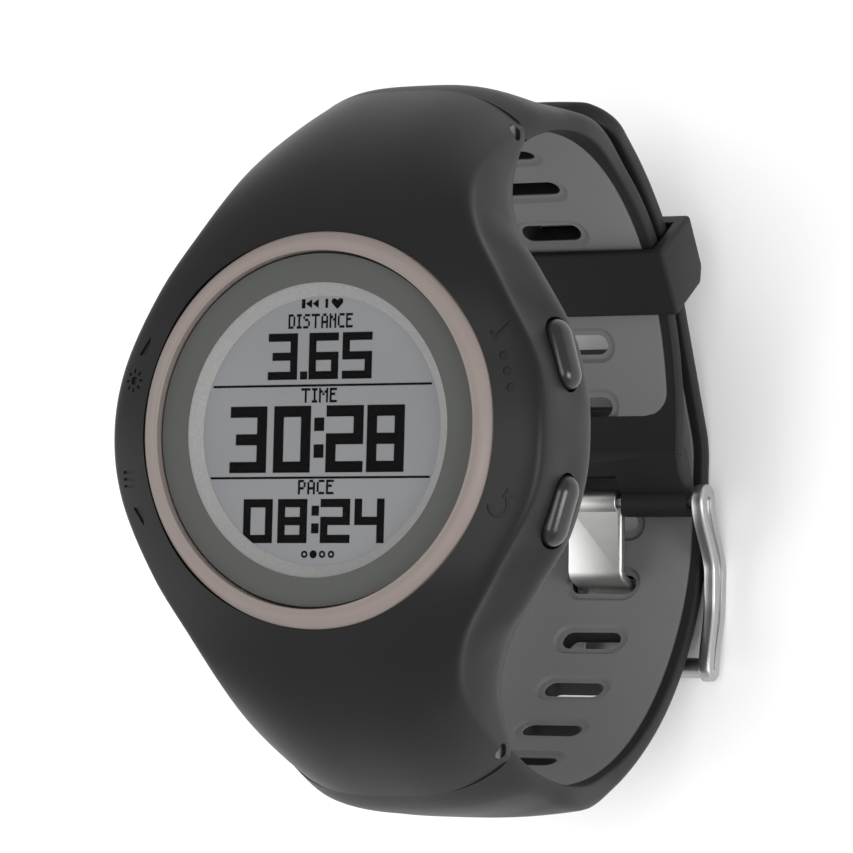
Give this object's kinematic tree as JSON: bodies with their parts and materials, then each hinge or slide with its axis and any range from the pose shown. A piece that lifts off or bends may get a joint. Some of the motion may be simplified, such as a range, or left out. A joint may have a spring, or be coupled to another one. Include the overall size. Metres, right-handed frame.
{
  "type": "running watch",
  "caption": "Digital running watch with a round display in a bezel ring, side buttons and a holed rubber strap fastened by a pin buckle with a keeper loop.",
  "frame": {"origin": "middle of the surface that the watch stands on, under the centre of its box", "axes": "+Z is the way the display faces, +Y is 12 o'clock and +X is 3 o'clock; the watch stands face up on its buckle and strap"},
  "size_m": [0.0492, 0.0757, 0.0704],
  "materials": {
    "case_polymer": "soft satin black",
    "bezel_polymer": "satin warm grey",
    "lens_glass": "clear",
    "lens_border": "printed dark grey",
    "surround_grey": "fine speckled light grey",
    "display_grey": "reflective display",
    "white_plastic": "light guide",
    "copper_flex": "flat cable",
    "inner_polymer": "moulded",
    "board_green": "solder mask",
    "chip_black": "moulded",
    "tin_plate": "tin plate",
    "gold_plate": "gold plate",
    "battery_foil": "pouch foil",
    "steel_polished": "polished",
    "steel_brushed": "brushed",
    "button_polymer": "satin black",
    "seal_rubber": "soft",
    "strap_rubber": "matte black",
    "lining_rubber": "matte mid grey"
  },
  "bodies": {
    "root": {"case_body": "case_polymer", "bezel_ring": "bezel_polymer", "lens": "lens_glass", "lens_mask": "lens_border", "lens_gasket": "seal_rubber", "display_surround": "surround_grey", "lcd_panel": "display_grey", "backlight_plate": "white_plastic", "lcd_flex": "copper_flex", "chassis": "inner_polymer", "main_board": "board_green", "board_chips": "chip_black", "rf_shield": "tin_plate", "gps_antenna": "gold_plate", "battery": "battery_foil", "vibration_motor": "steel_brushed", "buzzer": "chip_black", "tact_switches": "tin_plate", "contact_block": "inner_polymer", "charge_contacts": "gold_plate", "back_cover": "case_polymer", "back_gasket": "seal_rubber", "back_screws": "steel_polished", "button_seals": "seal_rubber", "strap_upper": "strap_rubber", "strap_upper_lining": "lining_rubber", "strap_lower": "strap_rubber", "strap_lower_lining": "lining_rubber", "strap_pin_upper": "steel_polished", "strap_pin_lower": "steel_polished"},
    "button_light": {"button_light": "button_polymer", "clip_light": "steel_brushed"},
    "button_menu": {"button_menu": "button_polymer", "clip_menu": "steel_brushed"},
    "button_start": {"button_start": "button_polymer", "clip_start": "steel_brushed"},
    "button_lap": {"button_lap": "button_polymer", "clip_lap": "steel_brushed"},
    "keeper": {"keeper": "strap_rubber"},
    "buckle": {"buckle_frame": "steel_brushed", "buckle_bar": "steel_polished"},
    "tongue": {"buckle_tongue": "steel_brushed"}
  },
  "joints": [
    {"name": "press_light", "type": "slide", "parent": "root", "child": "button_light", "axis": [0.9613, -0.2756, 0], "range_m": [0, 0.00055], "stiffness_N_per_m": 900},
    {"name": "press_menu", "type": "slide", "parent": "root", "child": "button_menu", "axis": [0.9613, 0.2756, 0], "range_m": [0, 0.00055], "stiffness_N_per_m": 900},
    {"name": "press_start", "type": "slide", "parent": "root", "child": "button_start", "axis": [-0.9613, -0.2756, 0], "range_m": [0, 0.00055], "stiffness_N_per_m": 900},
    {"name": "press_lap", "type": "slide", "parent": "root", "child": "button_lap", "axis": [-0.9613, 0.2756, 0], "range_m": [0, 0.00055], "stiffness_N_per_m": 900},
    {"name": "keeper_slide", "type": "hinge", "parent": "root", "child": "keeper", "pos_m": [0, 0.00365, 0.0384], "axis": [1, 0, 0], "range_deg": [-4, 6]},
    {"name": "buckle_swing", "type": "hinge", "parent": "root", "child": "buckle", "pos_m": [0, -0.00335, 0.0052], "axis": [1, 0, 0], "range_deg": [0, 2]},
    {"name": "tongue_swing", "type": "hinge", "parent": "buckle", "child": "tongue", "pos_m": [0, -0.00335, 0.0052], "axis": [1, 0, 0], "range_deg": [0, 2]}
  ]
}
